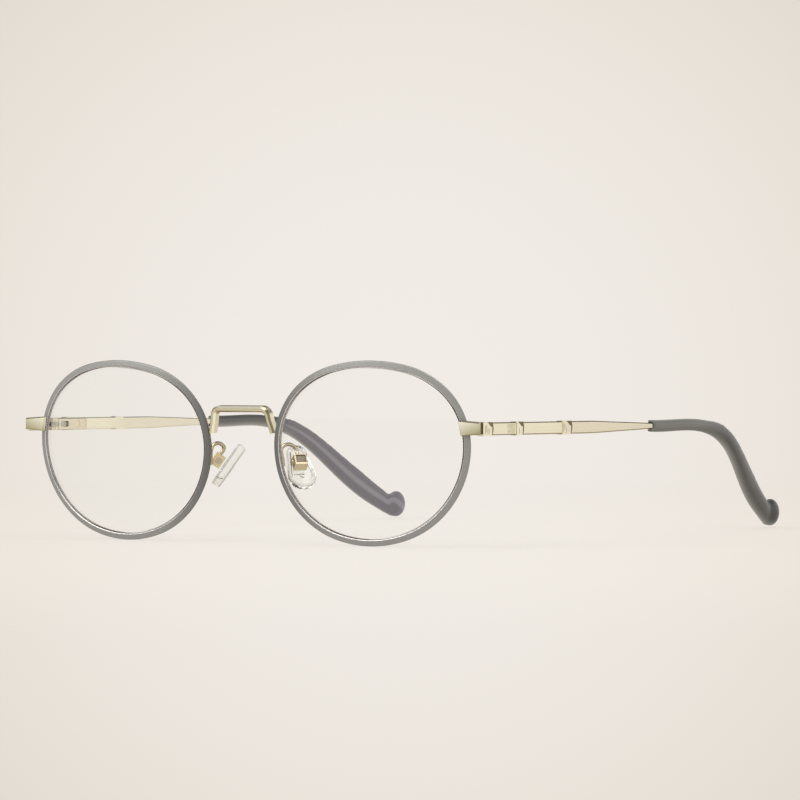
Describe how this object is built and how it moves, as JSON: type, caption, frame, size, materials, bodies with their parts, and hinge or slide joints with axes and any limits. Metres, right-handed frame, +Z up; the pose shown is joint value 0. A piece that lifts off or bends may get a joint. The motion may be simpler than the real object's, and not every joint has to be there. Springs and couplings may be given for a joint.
{
  "type": "oval eyeglasses",
  "caption": "Oval metal eyeglasses with clear lenses, bamboo-look folding temples on spring hinges, and rocking nose pads.",
  "frame": {"origin": "on the surface the glasses stand on, below the middle of their bounding box, temples open", "axes": "+Z up, +Y back along the temples, +X towards the wearer's left"},
  "size_m": [0.1282, 0.1369, 0.0405],
  "materials": {
    "gold_metal": "pale gold plating, satin",
    "rim_metal": "grey lacquer on the front, bare silver inside",
    "screw_steel": "bright",
    "lens": "clear, polished",
    "clear_pad": "clear, soft gloss",
    "tip_grey": "translucent dark grey, polished"
  },
  "bodies": {
    "front": {"bridge": "gold_metal", "left_rim": "rim_metal", "left_lens": "lens", "left_closing_block_upper": "gold_metal", "left_closing_block_lower": "gold_metal", "left_closing_screw": "screw_steel", "left_endpiece": "gold_metal", "left_hinge_fork": "gold_metal", "left_hinge_screw": "screw_steel", "left_pad_arm": "gold_metal", "left_pad_box": "gold_metal", "left_pad_screw": "screw_steel", "right_rim": "rim_metal", "right_lens": "lens", "right_closing_block_upper": "gold_metal", "right_closing_block_lower": "gold_metal", "right_closing_screw": "screw_steel", "right_endpiece": "gold_metal", "right_hinge_fork": "gold_metal", "right_hinge_screw": "screw_steel", "right_pad_arm": "gold_metal", "right_pad_box": "gold_metal", "right_pad_screw": "screw_steel"},
    "left_slider": {"left_hinge_slider": "screw_steel", "left_spring_stop": "screw_steel"},
    "left_temple": {"left_temple_bar": "gold_metal", "left_spring_housing": "gold_metal", "left_hinge_spring": "screw_steel", "left_temple_tip": "tip_grey"},
    "left_pad": {"left_nose_pad": "clear_pad", "left_pad_insert": "clear_pad"},
    "right_slider": {"right_hinge_slider": "screw_steel", "right_spring_stop": "screw_steel"},
    "right_temple": {"right_temple_bar": "gold_metal", "right_spring_housing": "gold_metal", "right_hinge_spring": "screw_steel", "right_temple_tip": "tip_grey"},
    "right_pad": {"right_nose_pad": "clear_pad", "right_pad_insert": "clear_pad"}
  },
  "joints": [
    {"name": "left_temple_fold", "type": "hinge", "parent": "front", "child": "left_slider", "pos_m": [0.0589, -0.06155, 0.02577], "axis": [0, 0.0084, 1], "range_deg": [0, 88]},
    {"name": "left_temple_spring", "type": "slide", "parent": "left_slider", "child": "left_temple", "axis": [0, 1, -0.0084], "range_m": [0, 0.0012], "stiffness_N_per_m": 1500, "springref_m": -0.0004, "deforming": ["left_hinge_spring"]},
    {"name": "left_pad_rock", "type": "hinge", "parent": "front", "child": "left_pad", "pos_m": [0.01167, -0.06121, 0.01795], "axis": [-0.6157, -0.788, 0], "range_deg": [-8, 8]},
    {"name": "right_temple_fold", "type": "hinge", "parent": "front", "child": "right_slider", "pos_m": [-0.0589, -0.06155, 0.02577], "axis": [0, -0.0084, -1], "range_deg": [0, 80]},
    {"name": "right_temple_spring", "type": "slide", "parent": "right_slider", "child": "right_temple", "axis": [0, 1, -0.0084], "range_m": [0, 0.0012], "stiffness_N_per_m": 1500, "springref_m": -0.0004, "deforming": ["right_hinge_spring"]},
    {"name": "right_pad_rock", "type": "hinge", "parent": "front", "child": "right_pad", "pos_m": [-0.01167, -0.06121, 0.01795], "axis": [-0.6157, 0.788, 0], "range_deg": [-8, 8]}
  ]
}
